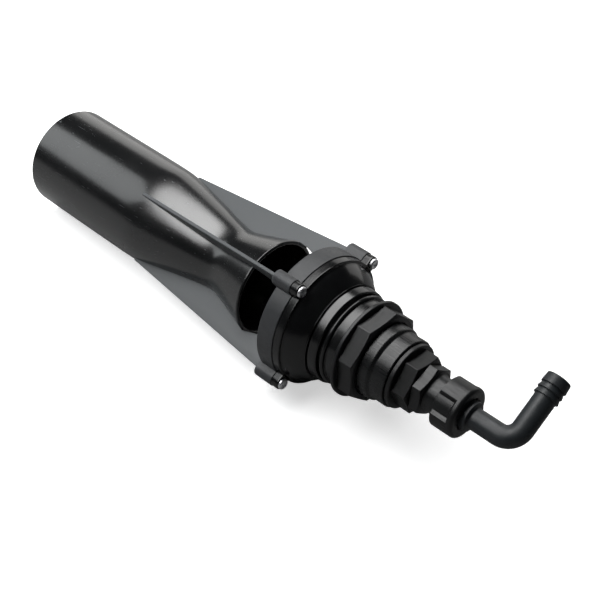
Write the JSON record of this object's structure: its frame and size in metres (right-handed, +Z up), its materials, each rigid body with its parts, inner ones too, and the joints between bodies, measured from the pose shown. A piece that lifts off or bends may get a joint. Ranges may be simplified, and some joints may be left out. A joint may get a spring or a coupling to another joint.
{
  "type": "venturi foot valve",
  "caption": "Venturi foot piece: long tube in a finned open-window frame, screwed nozzle cap, stacked fittings with a sprung check valve, fly nut and swivelling elbow hose tail.",
  "frame": {"origin": "centre of the tube's open end face", "axes": "+X along the tube towards the hose tail, +Z up with the part lying on its flange ring and one lug"},
  "size_m": [0.5074, 0.11, 0.11],
  "materials": {
    "tube_gloss": "moulded PVC, high gloss, faint flow marks and scuffs",
    "frame_satin": "moulded ABS, satin",
    "cap_gloss": "moulded PVC, high gloss",
    "nozzle_plastic": "moulded polypropylene, satin",
    "fitting_satin": "moulded polypropylene, satin",
    "fitting_dark": "moulded polypropylene, half gloss",
    "tail_satin": "moulded glass-filled nylon, fine grain",
    "inner_plastic": "machined acetal, smooth",
    "seal_rubber": "moulded EPDM, dull",
    "screw_steel": "stainless steel, polished",
    "spring_steel": "stainless spring steel, drawn"
  },
  "bodies": {
    "housing": {"venturi_tube": "tube_gloss", "fin_frame": "frame_satin", "flange_o_ring": "seal_rubber", "nozzle_cap": "cap_gloss", "cap_screws": "screw_steel", "jet_nozzle": "nozzle_plastic", "jet_o_ring": "seal_rubber", "reducer_gasket": "seal_rubber", "reducer_bush": "fitting_satin", "collar_o_ring": "seal_rubber", "check_valve_body": "fitting_satin", "guide_clip": "spring_steel", "poppet_guide": "inner_plastic", "return_spring": "spring_steel", "seat_ring": "seal_rubber", "cover_o_ring": "seal_rubber", "check_valve_cover": "fitting_dark", "nipple_washer": "seal_rubber", "hex_nipple": "fitting_dark", "tail_washer": "seal_rubber"},
    "poppet": {"poppet": "inner_plastic"},
    "fly_nut": {"fly_nut": "fitting_dark"},
    "hose_tail": {"hose_tail": "tail_satin", "tail_snap_ring": "spring_steel"}
  },
  "joints": [
    {"name": "poppet_slide", "type": "slide", "parent": "housing", "child": "poppet", "axis": [-1, 0, 0], "range_m": [0, 0.005], "stiffness_N_per_m": 250, "springref_m": -0.004, "deforming": ["return_spring"]},
    {"name": "fly_nut_turn", "type": "hinge", "parent": "housing", "child": "fly_nut", "pos_m": [0.4494, 0, 0], "axis": [1, 0, 0], "continuous": true},
    {"name": "tail_swivel", "type": "hinge", "parent": "housing", "child": "hose_tail", "pos_m": [0.4547, 0, 0], "axis": [1, 0, 0], "continuous": true}
  ]
}
